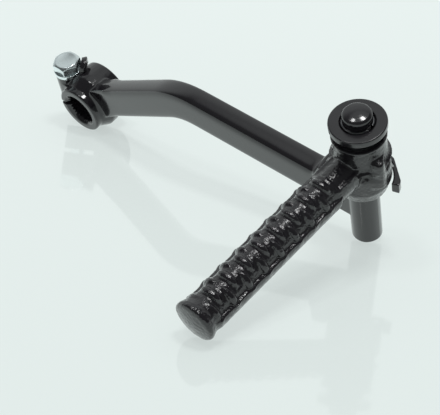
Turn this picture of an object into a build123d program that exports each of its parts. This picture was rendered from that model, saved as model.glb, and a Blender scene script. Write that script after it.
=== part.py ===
from build123d import *
import math
import os

# Kick start lever with a folding pedal, in millimetres.
# The origin is on the axis of the clamp bore, in the arm's middle plane. The bore runs along Y, and
# -Y is the outer side, where the foot is. The arm runs along +X, and the pedal's pivot stands along Z.

# Clamp boss with its serrated bore
boss_front_radius = 10.2
boss_collar = 2.8
boss_belly_radius = 12.6
boss_belly_half_width = 1.4
boss_back_radius = 11.4
boss_front = 8.4
boss_back = 9.3
boss_rim_radius = 0.7
boss_belly_rounding = 2.0
boss_blend_radius = 2.2
bore_crest_radius = 6.0
bore_root_radius = 7.0
bore_teeth = 30
tooth_crest_share = 0.45
tooth_root_share = 0.15
bore_mouth_radius = 7.5
slot_width = 1.6

# Clamp ears and the pinch bolt
bolt_radius = 3.0
bolt_hole_clearance = 0.2
bolt_thread_clearance = 0.03
bolt_web = 0.6
bolt_length = 20.0
bolt_tip_chamfer = 0.7
head_across_flats = 10.0
head_height = 4.0
head_crown_degrees = 35.0
head_crown_inset = 0.5
ear_radius = 5.7
ear_half_height = 10.4
ear_root_half_height = 7.6
spot_face_radius = 6.4
spot_wall = 1.1
spot_wall_height = 5.6
spot_wall_angle = 34.0
spot_wall_half_width = 3.6
washer_outer_radius = 5.9
washer_thickness = 1.6
washer_split = 1.2
washer_split_angle = 110.0

# Cranked arm: a drop forging split on its middle plane, so its top and bottom are ridged
pivot_x = 140.0
arm_width = 8.8
arm_height = 14.0
arm_ridge = 0.5
arm_corner_radius = 1.0
arm_ridge_radius = 5.0
arm_level = 33.8
arm_rise_angle = 31.0
arm_bend_radius = 32.0

# Pivot post, forged in one with the arm
pin_radius = 5.0
pin_proud = 4.4
pin_crown = 0.9
pin_edge_radius = 1.3
stub_bottom = 16.2
stub_half_width = 5.6
stub_half_depth = 5.25
stub_end_chamfer = 0.9
seat_level = 43.0
seat_radius = 6.3
seat_thickness = 1.4

# Stop horseshoe round the foot of the pedal's hub
stop_top = 46.6
stop_bottom = 42.4
stop_outer_radius = 12.8
stop_flat_distance = 11.8
stop_flat_angle = 49.0
stop_start_angle = 15.0
stop_end_angle = 200.0
stop_hub_gap = 0.3
stop_pad_radius = 15.6
stop_pad_foot_radius = 19.0
stop_pad_half_width = 5.6
key_reach = 0.9
key_half_angle = 8.0
key_angle = 166.0
key_end_gap = 0.6
key_play_degrees = 1.2
fold_degrees = 100.0

# Pedal hub
hub_bore_clearance = 0.05
hub_foot_radius = 8.6
hub_skirt_radius = 9.9
hub_skirt_bottom = 47.3
hub_skirt_top = 55.3
hub_shoulder = 57.3
hub_barrel_radius = 9.5
hub_neck_radius = 8.7
hub_rim_radius = 9.3
hub_rim_bottom = 67.0
hub_top = 68.4
hub_groove = 0.7
hub_edge_radius = 0.5
rib_radius = 3.0
rib_reach = 10.1
rib_angle = -19.0
rib_bottom = 50.0
rib_top = 64.0

# Pedal neck and grip
pedal_level = 56.8
pedal_set_degrees = 1.4
neck_radius = 5.5
neck_keel_radius = 6.6
neck_keel_rise = 3.6
grip_start = 17.3
grip_end = 76.5
grip_core_radius = 6.3
grip_keel_radius = 6.5
grip_shoulder = 1.2
grip_rib_first = 20.4
grip_rib_pitch = 7.36
grip_rib_count = 8
grip_rib_reach = 7.1
grip_rib_section = 1.8
grip_rib_offset = 1.7
grip_row_angle = 62.0
flare_start = 74.8
flare_radius = 7.8
flare_place = 79.8
flare_edge_radius = 1.4
pedal_length = 82.0

# Fold spring under the cap
spring_wire_radius = 0.75
spring_pin_gap = 0.3
spring_wall_gap = 0.3
spring_floor = 57.0
spring_seat_gap = 0.03
spring_turns = 4.5

# Spring cap and the snap ring that holds it
cap_radius = 9.6
cap_lift = 3.1
cap_thickness = 2.5
cap_edge_chamfer = 0.25
cap_pin_gap = 0.06
ring_wire_radius = 0.45
ring_gap_degrees = 24.0
ring_fit = 0.02
ring_pocket_depth = 1.0
ring_pocket_gap = 0.45

# Sizes that follow from the ones above
arm_half_width = arm_width / 2
bend_x = arm_level / math.tan(math.radians(arm_rise_angle))
bolt_hole_radius = bolt_radius + bolt_hole_clearance
bolt_x = -(bore_root_radius + bolt_web + bolt_hole_radius)
head_level = ear_half_height + washer_thickness
hub_bore_radius = pin_radius + hub_bore_clearance
stop_inner_radius = hub_skirt_radius + stop_hub_gap
key_radius = hub_skirt_radius + key_reach
cap_bottom = hub_top + cap_lift
cap_top = cap_bottom + cap_thickness
pin_top = cap_top + pin_proud
spring_radius = pin_radius + spring_pin_gap + spring_wire_radius
spring_pocket_radius = spring_radius + spring_wire_radius + spring_wall_gap
ring_level = cap_top - ring_wire_radius - ring_fit
above_all = 2 * pin_top
pivot = Location((pivot_x, 0, 0))
along_bore = Plane.XZ
pedal_turn = math.radians(pedal_set_degrees)
pedal_side = (math.cos(pedal_turn), -math.sin(pedal_turn), 0)
pedal_way = (-math.sin(pedal_turn), -math.cos(pedal_turn), 0)
pedal_plane = Plane(origin=(pivot_x, 0, pedal_level), x_dir=pedal_side, z_dir=pedal_way)


def disc(radius, bottom, top):
    """A round upright block about the Z axis, between two levels."""
    return Pos(0, 0, (bottom + top) / 2) * Cylinder(radius, top - bottom)


def along_y(sketch, front, back):
    """A sketch drawn as X and Z, made solid from -front to +back along Y."""
    return extrude(along_bore.offset(-back) * sketch, front + back)


def polar(radius, degrees):
    angle = math.radians(degrees)
    return (radius * math.cos(angle), radius * math.sin(angle))


def sector(radius, start, end):
    """A pie slice of the given radius between two angles."""
    middle = (start + end) / 2
    arc = ThreePointArc(polar(radius, start), polar(radius, middle), polar(radius, end))
    return make_face([Line((0, 0), arc @ 0), arc, Line(arc @ 1, (0, 0))])


def crown_arc(radius, rim, top):
    """Half the profile of a domed end: an arc from its rim to the axis, with its centre on the axis."""
    rise = top - rim
    sphere = (radius * radius + rise * rise) / (2 * rise)
    half = math.asin(radius / sphere) / 2
    middle = (sphere * math.sin(half), top - sphere + sphere * math.cos(half))
    return ThreePointArc((radius, rim), middle, (0, top))


def clamp_boss():
    """The round boss: a collar in front, the bulge of the forging's parting line, and a tapered back."""
    outline = Polyline(
        (0, -boss_front), (boss_front_radius, -boss_front), (boss_front_radius, boss_collar - boss_front),
        (boss_belly_radius, -boss_belly_half_width), (boss_belly_radius, boss_belly_half_width),
        (boss_back_radius, boss_back), (0, boss_back), close=True,
    )
    profile = make_face(outline)
    ends = (-boss_front, boss_back)
    rims = [corner for corner in profile.vertices() if corner.X > 0 and corner.Y in ends]
    profile = fillet(rims, boss_rim_radius)
    waist = [corner for corner in profile.vertices() if abs(corner.Y) <= boss_front - boss_collar]
    return revolve(fillet(waist, boss_belly_rounding), Axis.Y)


def clamp_ears():
    """The lug beside the boss that the pinch bolt passes through, and the wall its spot face leaves."""
    lug = Pos(bolt_x, 0, 0) * disc(ear_radius, -ear_half_height, ear_half_height)
    root = Pos(bolt_x / 2, 0, 0) * Box(-bolt_x, 2 * ear_radius, 2 * ear_root_half_height)
    tall = disc(spot_face_radius + spot_wall, 0, ear_half_height + spot_wall_height)
    leaf = Rot(0, 90, 0) * Cylinder(spot_wall_half_width, 4 * spot_face_radius)
    leaf = Pos(0, 0, ear_half_height + spot_wall_height - spot_wall_half_width) * leaf
    side = Pos(spot_face_radius, 0, 0) * Box(spot_face_radius, 2 * spot_wall_half_width, 2 * above_all)
    foot = Pos(0, 0, ear_half_height / 2)
    foot *= Box(4 * spot_face_radius, 2 * spot_wall_half_width, ear_half_height)
    wall = tall & side & (leaf + foot)
    return lug + root + Pos(bolt_x, 0, 0) * Rot(0, 0, spot_wall_angle) * wall


def bore_tools():
    """What is cut from the boss: serrations, bore mouths, slot, spot face and bolt holes."""
    step = 360 / bore_teeth
    points = []
    for tooth in range(bore_teeth):
        middle = tooth * step
        points.append(polar(bore_crest_radius, middle - step * tooth_crest_share / 2))
        points.append(polar(bore_crest_radius, middle + step * tooth_crest_share / 2))
        points.append(polar(bore_root_radius, middle + step / 2 - step * tooth_root_share / 2))
        points.append(polar(bore_root_radius, middle + step / 2 + step * tooth_root_share / 2))
    serrations = Circle(bore_crest_radius) + make_face(Polyline(*points, close=True))
    bore = along_y(serrations, boss_front, boss_back)
    depth = bore_mouth_radius - bore_crest_radius
    mouth = Pos(0, 0, depth / 2) * Cone(bore_mouth_radius, bore_crest_radius, depth)
    front_mouth = Pos(0, -boss_front, 0) * Rot(-90, 0, 0) * mouth
    back_mouth = Pos(0, boss_back, 0) * Rot(90, 0, 0) * mouth
    slot_reach = -bolt_x + 2 * ear_radius
    slot = Pos(-slot_reach / 2, 0, 0) * Box(slot_reach, 4 * boss_back, slot_width)
    spot = disc(spot_face_radius, ear_half_height, above_all)
    clear_hole = disc(bolt_hole_radius, 0, above_all)
    tapped_hole = disc(bolt_radius + bolt_thread_clearance, -above_all, 0)
    holes = Pos(bolt_x, 0, 0) * (spot + clear_hole + tapped_hole)
    return [bore, front_mouth, back_mouth, slot, holes]


def arm_bar():
    """The cranked bar: one ridged section carried along a straight rise, a bend and a level run."""
    route = [(0, 0), (bend_x, arm_level), (pivot_x, arm_level)]
    path = along_bore * FilletPolyline(*route, radius=arm_bend_radius)
    side = arm_height / 2 - arm_ridge
    top = arm_height / 2
    outline = Polyline(
        (-arm_half_width, -side), (0, -top), (arm_half_width, -side),
        (arm_half_width, side), (0, top), (-arm_half_width, side), close=True,
    )
    face = make_face(outline)
    ridges = [corner for corner in face.vertices() if abs(corner.X) < arm_ridge]
    face = fillet(ridges, arm_ridge_radius)
    corners = [corner for corner in face.vertices() if abs(corner.X) > arm_half_width - arm_ridge / 9]
    face = fillet(corners, arm_corner_radius)
    start = Plane(origin=path @ 0, x_dir=(0, 1, 0), z_dir=path % 0)
    return sweep(start * face, path=path)


def pivot_post():
    """The stub below the arm, with its forging ridge, and the turned pin that the hub turns on."""
    front = ThreePointArc((-stub_half_width, 0), (0, -stub_half_depth), (stub_half_width, 0))
    back = ThreePointArc((stub_half_width, 0), (0, stub_half_depth), (-stub_half_width, 0))
    stub = extrude(Pos(0, 0, stub_bottom) * make_face([front, back]), seat_level - stub_bottom)
    envelope = disc(stub_half_width, stub_bottom, seat_level)
    stub &= chamfer(envelope.edges().group_by(Axis.Z)[0], stub_end_chamfer)
    seat = disc(seat_radius, seat_level - seat_thickness, seat_level)
    shoulder = pin_top - pin_crown
    side = Line((pin_radius, arm_level), (pin_radius, shoulder))
    crown = crown_arc(pin_radius, shoulder, pin_top)
    base = Polyline((0, pin_top), (0, arm_level), (pin_radius, arm_level))
    profile = make_face([side, crown, base])
    profile = fillet(profile.vertices().sort_by_distance(side @ 1)[0], pin_edge_radius)
    pin = revolve(Plane.XZ * profile, Axis.Z)
    groove = Pos(0, 0, ring_level) * Torus(pin_radius, ring_wire_radius + ring_fit)
    return pivot * (stub + seat + (pin - groove))


def stop_horseshoe():
    """The raised wall that wraps the back of the hub's foot, with its ramp down to the bar."""
    wall = sector(stop_outer_radius, stop_start_angle, stop_end_angle)
    key_start = key_angle - fold_degrees - key_half_angle - key_play_degrees
    key_end = key_angle + key_half_angle + key_play_degrees
    pocket = sector(key_radius + stop_hub_gap, key_start, key_end)
    trim = Rot(0, 0, stop_flat_angle) * Pos(stop_flat_distance + stop_outer_radius, 0)
    plan = wall - trim * Rectangle(2 * stop_outer_radius, 4 * stop_outer_radius)
    ring = extrude(Pos(0, 0, stop_bottom) * plan, stop_top - stop_bottom)
    pad_bottom = arm_level + arm_height / 2 - arm_ridge - arm_corner_radius
    pad_height = stop_top - pad_bottom
    pad = Pos(0, 0, pad_bottom + pad_height / 2) * Cone(stop_pad_foot_radius, stop_pad_radius, pad_height)
    pad &= Pos(-above_all / 2, 0, 0) * Box(above_all, 2 * stop_pad_half_width, 2 * above_all)
    pad -= disc(stop_inner_radius - stop_hub_gap, pad_bottom, stop_bottom)
    room = disc(stop_inner_radius, stop_bottom, above_all)
    room += extrude(Pos(0, 0, stop_bottom) * pocket, above_all - stop_bottom)
    return pivot * (ring + pad - room)


def blend_edges(body):
    """The seam round the bar where it runs into the boss."""
    near = (boss_front_radius - boss_blend_radius, boss_belly_radius + boss_blend_radius)
    seam = []
    for edge in body.edges():
        middle = edge @ 0.5
        if middle.X > 0 and abs(middle.Y) <= arm_half_width + boss_rim_radius:
            if near[0] < math.hypot(middle.X, middle.Z) < near[1]:
                seam.append(edge)
    return seam


def make_arm():
    body = clamp_boss() + arm_bar() + clamp_ears()
    body = fillet(blend_edges(body), boss_blend_radius)
    for tool in bore_tools():
        body -= tool
    return body + stop_horseshoe() + pivot_post()


def hub_body():
    """The turned-looking hub with its bore and spring pocket."""
    outline = Polyline(
        (hub_bore_radius, seat_level), (hub_foot_radius, seat_level),
        (hub_skirt_radius, hub_skirt_bottom), (hub_skirt_radius, hub_skirt_top),
        (hub_barrel_radius, hub_shoulder), (hub_neck_radius, hub_rim_bottom - hub_groove),
        (hub_neck_radius - hub_groove / 2, hub_rim_bottom - hub_groove / 2),
        (hub_rim_radius, hub_rim_bottom),
        (hub_rim_radius, hub_top), (spring_pocket_radius, hub_top),
        (spring_pocket_radius, spring_floor), (hub_bore_radius, spring_floor), close=True,
    )
    body = revolve(Plane.XZ * make_face(outline), Axis.Z)
    circles = body.edges().filter_by(GeomType.CIRCLE)
    rim = [edge for edge in circles if math.isclose(edge.radius, hub_rim_radius)]
    return fillet(rim, hub_edge_radius)


def hub_additions():
    """The rib on the hub's far side and the key that runs between the two stops."""
    column = disc(rib_radius, rib_bottom, rib_top - rib_radius)
    column += Pos(0, 0, rib_top - rib_radius) * Sphere(rib_radius)
    rib = Rot(0, 0, rib_angle) * Pos(rib_reach - rib_radius, 0, 0) * column
    key_face = sector(key_radius, key_angle - key_half_angle, key_angle + key_half_angle)
    key_bottom = seat_level + key_end_gap
    key = extrude(Pos(0, 0, key_bottom) * key_face, stop_top - key_end_gap - key_bottom)
    return rib + key


def along_pedal(radius, start, end):
    """A round bar on the pedal's axis, between two distances from the pivot."""
    return extrude(pedal_plane.offset(start) * Circle(radius), end - start)


def grip_ribs():
    """Three rows of crescent ribs, the two side rows half a pitch behind the top row."""
    ring_radius = grip_rib_reach - grip_rib_offset - grip_rib_section
    ribs = []
    for row in (-1, 0, 1):
        lag = grip_rib_pitch / 2 * abs(row)
        sideways, upwards = polar(grip_rib_offset, 90 - row * grip_row_angle)
        for index in range(grip_rib_count):
            place = grip_rib_first + lag + index * grip_rib_pitch
            ribs.append(pedal_plane * Pos(sideways, upwards, place) * Torus(ring_radius, grip_rib_section))
    return ribs


def grip_end_flare():
    """The flared and crowned end that keeps the foot on."""
    inner = Line((0, flare_start), (grip_core_radius, flare_start))
    swell = Spline(
        (grip_core_radius, flare_start), (flare_radius, flare_place),
        tangents=((0, 1), (0.25, 1)),
    )
    face_radius = flare_radius - flare_edge_radius
    face_rim = flare_place + flare_edge_radius
    edge = TangentArc(swell @ 1, (face_radius, face_rim), tangent=swell % 1)
    crown = crown_arc(face_radius, face_rim, pedal_length)
    close = Line((0, pedal_length), (0, flare_start))
    face = make_face([inner, swell, edge, crown, close])
    lengthwise = Plane(origin=pedal_plane.origin, x_dir=pedal_side, z_dir=(0, 0, -1))
    return revolve(lengthwise * face, Axis(pedal_plane.origin, pedal_way))


def below(level):
    """All the room under a level, to keep the lower part of a shape."""
    return Pos(pivot_x, 0, level - above_all) * Box(2 * pivot_x, 2 * pivot_x, 2 * above_all)


def make_pedal():
    hub = pivot * (hub_body() + hub_additions())
    neck_end = grip_start + grip_shoulder
    shaft = along_pedal(neck_keel_radius, 0, neck_end) & below(pedal_level + neck_keel_rise)
    shaft += along_pedal(grip_keel_radius, grip_start, grip_end) & below(pedal_level)
    shaft += along_pedal(neck_radius, 0, neck_end) + along_pedal(grip_core_radius, grip_start, grip_end)
    shaft = shaft.fuse(*grip_ribs())
    shaft += grip_end_flare()
    inside = disc(hub_bore_radius, seat_level, hub_top) + disc(spring_pocket_radius, spring_floor, hub_top)
    return (hub + shaft) - pivot * inside


def make_spring():
    bottom = spring_floor + spring_wire_radius + spring_seat_gap
    top = cap_bottom - spring_wire_radius - spring_seat_gap
    path = Helix(pitch=(top - bottom) / spring_turns, height=top - bottom, radius=spring_radius)
    start = Plane(origin=path @ 0, z_dir=path % 0)
    coil = sweep(start * Circle(spring_wire_radius), path=path, is_frenet=True)
    return pivot * Pos(0, 0, bottom) * coil


def make_cap():
    cap = disc(cap_radius, cap_bottom, cap_top)
    cap = chamfer(cap.edges().filter_by(GeomType.CIRCLE), cap_edge_chamfer)
    hole = disc(pin_radius + cap_pin_gap, cap_bottom, cap_top)
    pocket_radius = pin_radius + ring_wire_radius + ring_pocket_gap
    pocket = disc(pocket_radius, cap_top - ring_pocket_depth, cap_top)
    return pivot * (cap - hole - pocket)


def make_snap_ring():
    ring = Torus(pin_radius, ring_wire_radius)
    opening = sector(2 * pin_radius, -ring_gap_degrees / 2, ring_gap_degrees / 2)
    gap = extrude(Pos(0, 0, -pin_radius) * opening, 2 * pin_radius)
    return pivot * Pos(0, 0, ring_level) * (ring - gap)


def make_bolt():
    shank = disc(bolt_radius, head_level - bolt_length, head_level)
    shank = chamfer(shank.edges().group_by(Axis.Z)[0], bolt_tip_chamfer)
    corner_radius = head_across_flats / math.sqrt(3)
    head = extrude(Pos(0, 0, head_level) * RegularPolygon(corner_radius, 6), head_height)
    flat = head_across_flats / 2
    run = head_height / math.tan(math.radians(head_crown_degrees))
    crown_radius = flat - head_crown_inset
    crown = Pos(0, 0, head_level + head_height / 2) * Cone(crown_radius + run, crown_radius, head_height)
    return Pos(bolt_x, 0, 0) * (shank + (head & crown))


def make_washer():
    ring = disc(washer_outer_radius, ear_half_height, head_level)
    ring -= disc(bolt_hole_radius, ear_half_height, head_level)
    cut = Pos(washer_outer_radius, 0, head_level) * Box(2 * washer_outer_radius, washer_split, above_all)
    split = Rot(0, 0, washer_split_angle) * cut
    return Pos(bolt_x, 0, 0) * (ring - split)


parts = {
    "arm": make_arm(),
    "pinch_bolt": make_bolt(),
    "spring_washer": make_washer(),
    "pedal": make_pedal(),
    "fold_spring": make_spring(),
    "spring_cap": make_cap(),
    "snap_ring": make_snap_ring(),
}

os.makedirs("parts", exist_ok=True)
for name, solid in parts.items():
    export_step(solid, f"parts/{name}.step")
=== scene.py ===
import bmesh
import bpy
import numpy as np
from mathutils import Matrix, Vector


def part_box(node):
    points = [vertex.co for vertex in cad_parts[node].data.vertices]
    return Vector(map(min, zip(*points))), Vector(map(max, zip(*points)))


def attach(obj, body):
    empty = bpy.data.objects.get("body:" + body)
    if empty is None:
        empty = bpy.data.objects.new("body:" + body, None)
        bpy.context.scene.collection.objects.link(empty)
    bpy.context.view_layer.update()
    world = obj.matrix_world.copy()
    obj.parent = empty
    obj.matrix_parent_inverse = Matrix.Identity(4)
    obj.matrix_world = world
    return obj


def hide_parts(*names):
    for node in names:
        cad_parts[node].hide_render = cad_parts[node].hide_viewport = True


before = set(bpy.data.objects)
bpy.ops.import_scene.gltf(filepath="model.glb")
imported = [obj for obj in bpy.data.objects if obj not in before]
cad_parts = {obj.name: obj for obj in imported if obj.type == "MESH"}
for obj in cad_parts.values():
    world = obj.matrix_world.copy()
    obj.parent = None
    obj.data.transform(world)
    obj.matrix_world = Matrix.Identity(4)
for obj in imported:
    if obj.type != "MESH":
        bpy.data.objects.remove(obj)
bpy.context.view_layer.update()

# Arm: one steel drop forging, from the split clamp boss over the cranked bar to the pivot post.
# It is forged in dies that part on its middle plane, trimmed, bored and slotted, and then sprayed
# with gloss black enamel, which rounds every corner a little.
mm = 0.001
arm_skin = 0.28 * mm
arm_smoothing = 4
arm_kept = 0.5
weld_distance = 0.002 * mm
smoothing_factor = 0.5
bar_dressing = 200
dress_levels = 8

# A pair of values, in mm, is where a form fades in or out: there is none of it at the first place
# and all of it at the second.
bar_starts = 13.0, 19.0
bar_ends = 127.0, 121.0
bolt_x = -10.8
fin_growth = 1.1
fin_inside = 6.7, 7.2
fin_outside = 8.6, 8.0
fin_foot = 12.0, 13.0

enamel_black = "#1b191c"
enamel_worn = "#232125"
enamel_ior = 1.55
enamel_clouds = 14 * mm
enamel_detail = 3.0
haze_least = 0.75
haze_most = 1.35
arm_peel = 2.2 * mm
arm_peel_depth = 0.02 * mm
arm_roughness = 0.11


def linear(code):
    """An sRGB hex colour as linear red, green, blue and alpha."""
    shares = [int(code[place:place + 2], 16) / 255 for place in (1, 3, 5)]
    return [s / 12.92 if s <= 0.04045 else ((s + 0.055) / 1.055) ** 2.4 for s in shares] + [1.0]


def add_node(tree, kind, settings=None, inputs=None):
    """Adds one node to a tree, sets its properties, and fills or links its input sockets."""
    node = tree.nodes.new(kind)
    for name, value in (settings or {}).items():
        setattr(node, name, value)
    for name, value in (inputs or {}).items():
        if isinstance(value, bpy.types.NodeSocket):
            tree.links.new(value, node.inputs[name])
        else:
            node.inputs[name].default_value = value
    return node


def new_material(name):
    """An empty node material, with its tree."""
    material = bpy.data.materials.new(name)
    material.use_nodes = True
    material.node_tree.nodes.clear()
    return material, material.node_tree


def cloudy(tree, place, size, detail, first, second):
    """Soft clouds of one size over a piece, and the blend of two colours that they make."""
    clouds = add_node(tree, "ShaderNodeTexNoise", inputs={
        "Vector": place, "Scale": 1 / size, "Detail": detail,
    }).outputs["Fac"]
    tint = add_node(tree, "ShaderNodeMix", {"data_type": "RGBA"}, {
        0: clouds, 6: linear(first), 7: linear(second),
    }).outputs[2]
    return clouds, tint


def gloss_enamel(name, peel_size, peel_depth, roughness):
    """Black enamel sprayed on iron or steel: near black and wet gloss, with a faint orange peel."""
    material, tree = new_material(name)
    place = add_node(tree, "ShaderNodeTexCoord").outputs["Object"]
    clouds, tint = cloudy(tree, place, enamel_clouds, enamel_detail, enamel_black, enamel_worn)
    haze = add_node(tree, "ShaderNodeMapRange", inputs={
        "Value": clouds, "To Min": roughness * haze_least, "To Max": roughness * haze_most,
    })
    peel = add_node(tree, "ShaderNodeTexNoise", inputs={
        "Vector": place, "Scale": 1 / peel_size, "Detail": enamel_detail,
    })
    ripple = add_node(tree, "ShaderNodeBump", inputs={
        "Height": peel.outputs["Fac"], "Distance": peel_depth,
    })
    paint = add_node(tree, "ShaderNodeBsdfPrincipled", inputs={
        "Base Color": tint, "Roughness": haze.outputs["Result"], "IOR": enamel_ior,
        "Normal": ripple.outputs["Normal"],
    })
    add_node(tree, "ShaderNodeOutputMaterial", inputs={"Surface": paint.outputs["BSDF"]})
    return material


def new_object(name, data):
    """A new object, linked to the scene."""
    thing = bpy.data.objects.new(name, data)
    bpy.context.scene.collection.objects.link(thing)
    return thing


def plain_mesh(piece):
    """Swaps a piece's mesh for what its modifiers make of it, and removes the modifiers."""
    seen = piece.evaluated_get(bpy.context.evaluated_depsgraph_get())
    mesh = bpy.data.meshes.new_from_object(seen)
    piece.modifiers.clear()
    piece.data = mesh


def soft_copy(node, skin, smoothing):
    """A copy of a CAD piece with a fine even skin, its corners rounded as by paint or plating."""
    piece = new_object(node + "_finished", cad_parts[node].data.copy())
    form = bmesh.new()
    form.from_mesh(piece.data)
    bmesh.ops.remove_doubles(form, verts=form.verts, dist=weld_distance)
    form.to_mesh(piece.data)
    form.free()
    even = piece.modifiers.new("skin", "REMESH")
    even.mode = "VOXEL"
    even.voxel_size = skin
    even.use_smooth_shade = True
    rounded = piece.modifiers.new("rounding", "SMOOTH")
    rounded.factor = smoothing_factor
    rounded.iterations = smoothing
    plain_mesh(piece)
    return piece


def vertex_places(piece):
    """The places of a piece's vertices, in millimetres."""
    places = np.empty(3 * len(piece.data.vertices), dtype=np.float32)
    piece.data.vertices.foreach_get("co", places)
    return places.reshape(-1, 3) / mm


def reshape(piece, rule):
    """Moves the vertices of a piece by a rule that takes and gives their places in millimetres."""
    moved = rule(vertex_places(piece)) * mm
    piece.data.vertices.foreach_set("co", moved.astype(np.float32).ravel())
    piece.data.update()


def dress(piece, rule, rounds):
    """Rounds a piece further where a rule of its places gives 1, as a fettler's belt does."""
    group = piece.vertex_groups.new(name="dressed")
    shares = np.round(rule(vertex_places(piece)) * dress_levels)
    for level in range(1, dress_levels + 1):
        group.add(np.flatnonzero(shares == level).tolist(), level / dress_levels, "REPLACE")
    belt = piece.modifiers.new("dressed", "SMOOTH")
    belt.factor = smoothing_factor
    belt.iterations = rounds
    belt.vertex_group = group.name
    plain_mesh(piece)
    piece.vertex_groups.clear()


def smooth_step(value, start, end):
    """Runs smoothly from 0 at the start to 1 at the end, which may be the smaller of the two."""
    share = np.clip((value - start) / (end - start), 0, 1)
    return share * share * (3 - 2 * share)


def between(value, rise, fall):
    """1 between two places, with a smooth rise at the one and a smooth fall at the other."""
    return smooth_step(value, *rise) * smooth_step(value, *fall)


def along_bar(places):
    """The cranked bar between the boss and the post, whose die-forged edges are well rounded."""
    return between(places[:, 0], bar_starts, bar_ends)


def stout_fin(places):
    """Thickens the fin that the spot face for the bolt leaves standing beside the head."""
    x, y, z = places[:, 0] - bolt_x, places[:, 1], places[:, 2]
    radius = np.hypot(x, y)
    share = fin_growth * between(radius, fin_inside, fin_outside) / radius
    share *= smooth_step(z, *fin_foot)
    places[:, 0] += share * x
    places[:, 1] += share * y
    return places


def finish_piece(piece, node, body, material):
    """Puts a material on a piece and hands it to the frame in place of its CAD node."""
    piece.data.materials.clear()
    piece.data.materials.append(material)
    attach(piece, body)
    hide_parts(node)


arm = soft_copy("arm", arm_skin, arm_smoothing)
dress(arm, along_bar, bar_dressing)
arm.modifiers.new("fewer_faces", "DECIMATE").ratio = arm_kept
plain_mesh(arm)
reshape(arm, stout_fin)
arm_enamel = gloss_enamel("gloss_black_enamel_on_forging", arm_peel, arm_peel_depth, arm_roughness)
finish_piece(arm, "arm", "lever", arm_enamel)

# Pinch bolt and its split spring washer: a hex head M6 bolt, cold headed, rolled and zinc plated.
# It passes down through the upper ear into the tapped lower ear, and draws the boss tight on
# its shaft.
bolt_skin = 0.12 * mm
bolt_smoothing = 3
head_top = 16.0
dish_radius = 4.0
dish_depth = 0.3
zinc_bright = "#e3eaeb"
zinc_dull = "#c6d0d3"
zinc_clouds = 2.5 * mm
zinc_detail = 4.0
zinc_least_roughness = 0.16
zinc_most_roughness = 0.34


def bright_zinc():
    """Bright zinc plate on steel: a cool silver that mirrors the room, with faint dull clouds."""
    material, tree = new_material("bright_zinc_plate")
    place = add_node(tree, "ShaderNodeTexCoord").outputs["Object"]
    clouds, tint = cloudy(tree, place, zinc_clouds, zinc_detail, zinc_bright, zinc_dull)
    haze = add_node(tree, "ShaderNodeMapRange", inputs={
        "Value": clouds, "To Min": zinc_least_roughness, "To Max": zinc_most_roughness,
    })
    plate = add_node(tree, "ShaderNodeBsdfPrincipled", inputs={
        "Base Color": tint, "Roughness": haze.outputs["Result"], "Metallic": 1.0,
    })
    add_node(tree, "ShaderNodeOutputMaterial", inputs={"Surface": plate.outputs["BSDF"]})
    return material


def head_dish(places):
    """The shallow dish that cold heading leaves in the top of the bolt's head."""
    share = np.hypot(places[:, 0] - bolt_x, places[:, 1]) / dish_radius
    on_top = places[:, 2] > head_top - dish_depth
    places[:, 2] -= np.where(on_top, dish_depth * np.clip(1 - share * share, 0, 1), 0)
    return places


zinc = bright_zinc()
bolt = soft_copy("pinch_bolt", bolt_skin, bolt_smoothing)
reshape(bolt, head_dish)
finish_piece(bolt, "pinch_bolt", "lever", zinc)
washer = soft_copy("spring_washer", bolt_skin, bolt_smoothing)
finish_piece(washer, "spring_washer", "lever", zinc)

# Pedal: one iron casting, with a hub that turns on the post, a neck, a grip with three rows of
# crescent ribs and a flared end. Its cast skin is rough, and the black enamel on it is thick
# and lumpy.
pedal_skin = 0.3 * mm
pedal_smoothing = 5
pedal_dressing = 60
lump_size = 1.1 * mm
lump_depth = 0.24 * mm
lump_detail = 1.0
pivot_x = 140.0
pedal_level = 56.8
pedal_turn = np.radians(1.4)

flank_top = 1.6, 0.6
far_row = -2.0, -4.5
flank_starts = 14.0, 18.0
end_starts = 78.0, 79.5

hub_inside = 7.8, 8.4
hub_outside = 11.2, 10.6
hollow_level = 56.2
hollow_half_height = 2.2
hollow_depth = 1.1
bead_level = 58.7
bead_half_height = 0.9
bead_height = 1.0
rib_angle = np.radians(-15.0)
rib_spread = np.radians(25.0)
rib_foot = 49.5, 52.0
rib_head = 63.4, 62.2
rib_growth = 2.0

grip_starts = 18.5, 20.5
grip_ends = 75.5, 73.0
grip_foot = 1.0, 1.6
valley_top = 6.7, 6.3
valley_depth = 0.45
ledge_starts = 16.0, 19.0
ledge_ends = 78.0, 75.0
ledge_top = 1.3, 0.9
ledge_foot = -5.0, -2.5
ledge_reach = 0.9

pedal_peel = 0.8 * mm
pedal_peel_depth = 0.17 * mm
pedal_roughness = 0.11


def rule_tree(name, inputs):
    """An empty Geometry Nodes tree that takes the named inputs and gives geometry."""
    tree = bpy.data.node_groups.new(name, "GeometryNodeTree")
    for label, kind in inputs.items():
        tree.interface.new_socket(label, in_out="INPUT", socket_type="NodeSocket" + kind)
    tree.interface.new_socket("Geometry", in_out="OUTPUT", socket_type="NodeSocketGeometry")
    return tree, add_node(tree, "NodeGroupInput").outputs


def run_rule(piece, tree, made, values):
    """Gives out what a Geometry Nodes tree has made, and runs it on a piece with these values."""
    add_node(tree, "NodeGroupOutput", inputs={"Geometry": made})
    runner = piece.modifiers.new(tree.name, "NODES")
    runner.node_group = tree
    for socket in tree.interface.items_tree:
        if socket.name in values:
            runner[socket.identifier] = values[socket.name]
    plain_mesh(piece)


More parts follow.
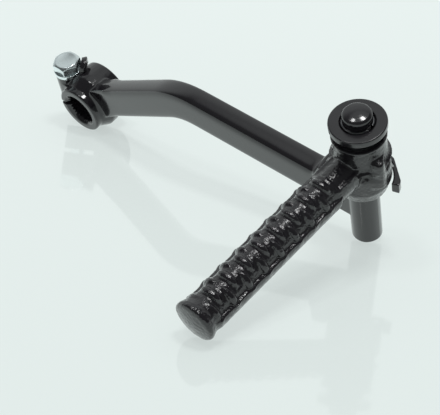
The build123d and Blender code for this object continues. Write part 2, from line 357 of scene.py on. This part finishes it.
def lumpy_skin(piece, size, depth):
    """Lets the skin of a casting sink in small lumps, by Geometry Nodes, so that it never grows."""
    tree, given = rule_tree("lumpy_skin", {
        "Geometry": "Geometry", "Lump size": "Float", "Lump depth": "Float",
    })
    closeness = add_node(tree, "ShaderNodeMath", {"operation": "DIVIDE"}, {
        0: 1.0, 1: given["Lump size"],
    })
    lumps = add_node(tree, "ShaderNodeTexNoise", inputs={
        "Vector": add_node(tree, "GeometryNodeInputPosition").outputs[0],
        "Scale": closeness.outputs[0], "Detail": lump_detail,
    })
    sink = add_node(tree, "ShaderNodeMath", {"operation": "MULTIPLY"}, {
        0: lumps.outputs["Fac"], 1: given["Lump depth"],
    })
    inward = add_node(tree, "ShaderNodeVectorMath", {"operation": "SCALE"}, {
        "Vector": add_node(tree, "GeometryNodeInputNormal").outputs[0], "Scale": sink.outputs[0],
    })
    sunk = add_node(tree, "GeometryNodeSetPosition", inputs={
        "Geometry": given["Geometry"], "Offset": inward.outputs[0],
    })
    run_rule(piece, tree, sunk.outputs[0], {"Lump size": size, "Lump depth": -depth})


def on_pedal(places):
    """Places as the pedal has them: along it from the pivot, sideways, and up from its middle."""
    x, y, up = places[:, 0] - pivot_x, places[:, 1], places[:, 2] - pedal_level
    along = -x * np.sin(pedal_turn) - y * np.cos(pedal_turn)
    sideways = x * np.cos(pedal_turn) - y * np.sin(pedal_turn)
    return along, sideways, up


def dressed_faces(places):
    """The flared end, the flanks at the parting line and the far row of ribs, ground smoother."""
    along, sideways, up = on_pedal(places)
    flank = np.maximum(smooth_step(up, *flank_top), smooth_step(sideways, *far_row))
    return np.maximum(flank * smooth_step(along, *flank_starts), smooth_step(along, *end_starts))


def cast_forms(places):
    """The hub's bead, hollow and rib, and the grip's deep valleys and the ledge on its flanks."""
    x, y, z = places[:, 0] - pivot_x, places[:, 1], places[:, 2]
    radius = np.hypot(x, y)
    grown = bead_height * smooth_step(abs(z - bead_level), bead_half_height, 0)
    grown -= hollow_depth * smooth_step(abs(z - hollow_level), hollow_half_height, 0)
    off_rib = abs(np.arctan2(y, x) - rib_angle)
    rib = smooth_step(off_rib, rib_spread, 0) * between(z, rib_foot, rib_head)
    grown += (rib_growth - grown) * rib
    share = grown * between(radius, hub_inside, hub_outside) / radius
    along, sideways, up = on_pedal(places)
    reach = np.hypot(sideways, up)
    grip = between(along, grip_starts, grip_ends) * smooth_step(up, *grip_foot)
    valley = valley_depth * grip * smooth_step(reach, *valley_top)
    ledge = between(along, ledge_starts, ledge_ends) * between(up, ledge_top, ledge_foot)
    sunk = (valley - ledge_reach * ledge) / reach
    places[:, 0] += share * x - sunk * sideways * np.cos(pedal_turn)
    places[:, 1] += share * y + sunk * sideways * np.sin(pedal_turn)
    places[:, 2] -= sunk * up
    return places


pedal = soft_copy("pedal", pedal_skin, pedal_smoothing)
dress(pedal, dressed_faces, pedal_dressing)
reshape(pedal, cast_forms)
lumpy_skin(pedal, lump_size, lump_depth)
pedal_enamel = gloss_enamel(
    "thick_black_enamel_on_casting", pedal_peel, pedal_peel_depth, pedal_roughness,
)
finish_piece(pedal, "pedal", "pedal", pedal_enamel)

# Fold spring: a coil of round spring wire round the post, in the pocket of the hub.
# It presses the hub down on its seat and is held under the cap, so only its top coils show
# in the gap.
wire_radius = 0.75 * mm
spring_turns = 4.5
points_per_turn = 48
wire_sides = 20
steel_dark = "#4a4a4c"
steel_light = "#7b7c7e"
steel_clouds = 3 * mm
steel_detail = 3.0
steel_roughness = 0.32


def oiled_steel():
    """Oil tempered spring steel: dark grey, drawn smooth, with a dull metal sheen."""
    material, tree = new_material("oil_tempered_spring_steel")
    place = add_node(tree, "ShaderNodeTexCoord").outputs["Object"]
    _, tint = cloudy(tree, place, steel_clouds, steel_detail, steel_dark, steel_light)
    steel = add_node(tree, "ShaderNodeBsdfPrincipled", inputs={
        "Base Color": tint, "Roughness": steel_roughness, "Metallic": 1.0,
    })
    add_node(tree, "ShaderNodeOutputMaterial", inputs={"Surface": steel.outputs["BSDF"]})
    return material


def coil(name, low, high, material):
    """A helical spring of round wire between two corners of its box, made by Geometry Nodes."""
    tree, given = rule_tree(name, {
        "Wire radius": "Float", "Coil radius": "Float", "Height": "Float", "Turns": "Float",
        "Foot": "Vector",
    })
    spiral = add_node(tree, "GeometryNodeCurveSpiral", inputs={
        "Resolution": points_per_turn, "Rotations": given["Turns"], "Height": given["Height"],
        "Start Radius": given["Coil radius"], "End Radius": given["Coil radius"],
    })
    section = add_node(tree, "GeometryNodeCurvePrimitiveCircle", inputs={
        "Resolution": wire_sides, "Radius": given["Wire radius"],
    })
    rod = add_node(tree, "GeometryNodeCurveToMesh", inputs={
        "Curve": spiral.outputs[0], "Profile Curve": section.outputs[0], "Fill Caps": True,
    })
    placed = add_node(tree, "GeometryNodeTransform", inputs={
        "Geometry": rod.outputs[0], "Translation": given["Foot"],
    })
    real = add_node(tree, "GeometryNodeRealizeInstances", inputs={"Geometry": placed.outputs[0]})
    finished = add_node(tree, "GeometryNodeSetMaterial", inputs={
        "Geometry": real.outputs[0], "Material": material,
    })
    piece = new_object(name, bpy.data.meshes.new(name))
    run_rule(piece, tree, finished.outputs[0], {
        "Wire radius": wire_radius,
        "Coil radius": (high.x - low.x) / 2 - wire_radius,
        "Height": high.z - low.z - 2 * wire_radius,
        "Turns": spring_turns,
        "Foot": ((low.x + high.x) / 2, (low.y + high.y) / 2, low.z + wire_radius),
    })
    return piece


spring_steel = oiled_steel()
fold_spring = coil("fold_spring_coil", *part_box("fold_spring"), spring_steel)
finish_piece(fold_spring, "fold_spring", "pedal", spring_steel)
fold_spring.data.shade_smooth()

# Spring cap: a turned steel disc over the spring, bored to slide on the post and painted with
# the rest. The spring pushes it up against the snap ring, which lies in a shallow recess round
# its hole.
cap_skin = 0.2 * mm
cap_smoothing = 3
cap_peel = 3.0 * mm
cap_peel_depth = 0.01 * mm
cap_roughness = 0.2
cap = soft_copy("spring_cap", cap_skin, cap_smoothing)
cap_enamel = gloss_enamel(
    "gloss_black_enamel_on_turned_disc", cap_peel, cap_peel_depth, cap_roughness,
)
finish_piece(cap, "spring_cap", "lever", cap_enamel)

# Snap ring: an open ring of spring wire, sprung into a groove near the top of the post.
# It carries the cap against the force of the spring.
ring_skin = 0.08 * mm
ring_smoothing = 1
ring = soft_copy("snap_ring", ring_skin, ring_smoothing)
finish_piece(ring, "snap_ring", "lever", spring_steel)

# Table: a plain pale glossy board. The lever lies on it on its boss, its post and its pedal's
# end, so the board is tilted in the lever's own frame, and its back lets the camera look through
# from below.
table_up = Vector((-0.1781, 0.3966, 0.9006)).normalized()
table_middle = Vector((70 * mm, -30 * mm, 0))
table_half = 2.0
table_pale = "#e6efed"
table_grey = "#939997"
board_level = 0.64
board_roughness = 0.07
board_ior = 1.5


def ray_kinds(tree):
    """1 for rays that the camera sees by, also through clear things, and 1 for mirrored rays."""
    path = add_node(tree, "ShaderNodeLightPath").outputs
    seen = add_node(tree, "ShaderNodeMath", {"operation": "MAXIMUM"}, {
        0: path["Is Camera Ray"], 1: path["Is Transmission Ray"],
    })
    return seen.outputs[0], path["Is Glossy Ray"]


touching = min(
    table_up @ corner.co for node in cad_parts.values() for corner in node.data.vertices
)
table_side = table_up.orthogonal().normalized()
table_ahead = table_up.cross(table_side)
middle = table_middle - table_up * (table_up @ table_middle - touching)
corners = [(-1, -1), (1, -1), (1, 1), (-1, 1)]
spots = [
    middle + table_side * (table_half * a) + table_ahead * (table_half * b) for a, b in corners
]
board = bpy.data.meshes.new("table")
board.from_pydata(spots, [], [(0, 1, 2, 3)])
table = new_object("table", board)
material, tree = new_material("pale_glossy_board")
seen, mirrored = ray_kinds(tree)
level = add_node(tree, "ShaderNodeMath", {"operation": "MULTIPLY_ADD"}, {
    0: seen, 1: board_level, 2: mirrored,
})
sheet = add_node(tree, "ShaderNodeBsdfPrincipled", inputs={
    "Base Color": linear(table_grey), "Roughness": board_roughness, "IOR": board_ior,
    "Emission Color": linear(table_pale), "Emission Strength": level.outputs[0],
})
clear = add_node(tree, "ShaderNodeBsdfTransparent")
back = add_node(tree, "ShaderNodeNewGeometry").outputs["Backfacing"]
either = add_node(tree, "ShaderNodeMixShader", inputs={
    0: back, 1: sheet.outputs[0], 2: clear.outputs[0],
})
add_node(tree, "ShaderNodeOutputMaterial", inputs={"Surface": either.outputs[0]})
board.materials.append(material)

# Light: two soft lamps in line overhead, and a pale room all round that the gloss shows.
# What the gloss mirrors of the room is pale at the far side and overhead, and dark elsewhere,
# so that the faces turned to the camera stay black.
lamp_distance = 1.0
lamp_aim = Vector((90 * mm, -20 * mm, 30 * mm))
lamps = {
    "overhead_left": ((-0.256, 0.080, 0.963), 0.16, 0.12, 1.1),
    "overhead_right": ((-0.002, 0.381, 0.925), 0.22, 0.16, 2.6),
}
for name, (way, width, depth, watts) in lamps.items():
    light = bpy.data.lights.new(name, "AREA")
    light.shape = "RECTANGLE"
    light.size = width
    light.size_y = depth
    light.energy = watts
    lamp = new_object(name, light)
    towards = Vector(way).normalized()
    lamp.location = lamp_aim + towards * lamp_distance
    lamp.rotation_euler = towards.to_track_quat("Z", "Y").to_euler()
    lamp.visible_camera = False

room_pale = "#eef4f3"
room_light = 0.5
room_dark = 0.12
room_mirrored = 0.85
room_shown = 0.9
far_way = Vector((-0.637, 0.651, -0.412))
far_fade = 0.05, 0.5
overhead_fade = 0.88, 0.97
world = bpy.data.worlds.new("pale_room")
world.use_nodes = True
tree = world.node_tree
tree.nodes.clear()
seen, mirrored = ray_kinds(tree)
ray_way = add_node(tree, "ShaderNodeTexCoord").outputs["Generated"]
pale_parts = []
for towards, (fades_from, fades_to) in ((far_way, far_fade), (table_up, overhead_fade)):
    share = add_node(tree, "ShaderNodeVectorMath", {"operation": "DOT_PRODUCT"}, {
        0: ray_way, 1: towards,
    })
    pale = add_node(tree, "ShaderNodeMapRange", {"interpolation_type": "SMOOTHSTEP"}, {
        "Value": share.outputs["Value"], "From Min": fades_from, "From Max": fades_to,
        "To Min": room_dark, "To Max": room_mirrored,
    })
    pale_parts.append(pale.outputs["Result"])
palest = add_node(tree, "ShaderNodeMath", {"operation": "MAXIMUM"}, {
    0: pale_parts[0], 1: pale_parts[1],
})
lit = add_node(tree, "ShaderNodeMix", {"data_type": "FLOAT"}, {
    0: mirrored, 2: room_light, 3: palest.outputs[0],
})
level = add_node(tree, "ShaderNodeMix", {"data_type": "FLOAT"}, {
    0: seen, 2: lit.outputs[0], 3: room_shown,
})
room = add_node(tree, "ShaderNodeBackground", inputs={
    "Color": linear(room_pale), "Strength": level.outputs[0],
})
add_node(tree, "ShaderNodeOutputWorld", inputs={"Surface": room.outputs[0]})
bpy.context.scene.world = world
bpy.context.scene.view_settings.view_transform = "Standard"

# Camera: a short telephoto view from above and in front of the pedal, as in a catalogue picture.
# Its place, direction and focal length were fitted to the lever's outline in the photo and to
# the mirror image on the table.
camera_place = Vector((329.9, -218.5, 398.3)) * mm
camera_way = Vector((-0.4868, 0.4002, -0.7765)).normalized()
camera_top = Vector((-0.4477, 0.6488, 0.6152))
sensor_width = 36.0
focal_length = 112.19
nearest = 0.01
farthest = 10.0
lens = bpy.data.cameras.new("camera")
lens.sensor_width = sensor_width
lens.lens = focal_length
lens.clip_start = nearest
lens.clip_end = farthest
camera = new_object("camera", lens)
sideways = camera_way.cross(camera_top).normalized()
upright = sideways.cross(camera_way)
turn = Matrix((sideways, upright, -camera_way)).transposed()
camera.matrix_world = Matrix.Translation(camera_place) @ turn.to_4x4()
bpy.context.scene.camera = camera
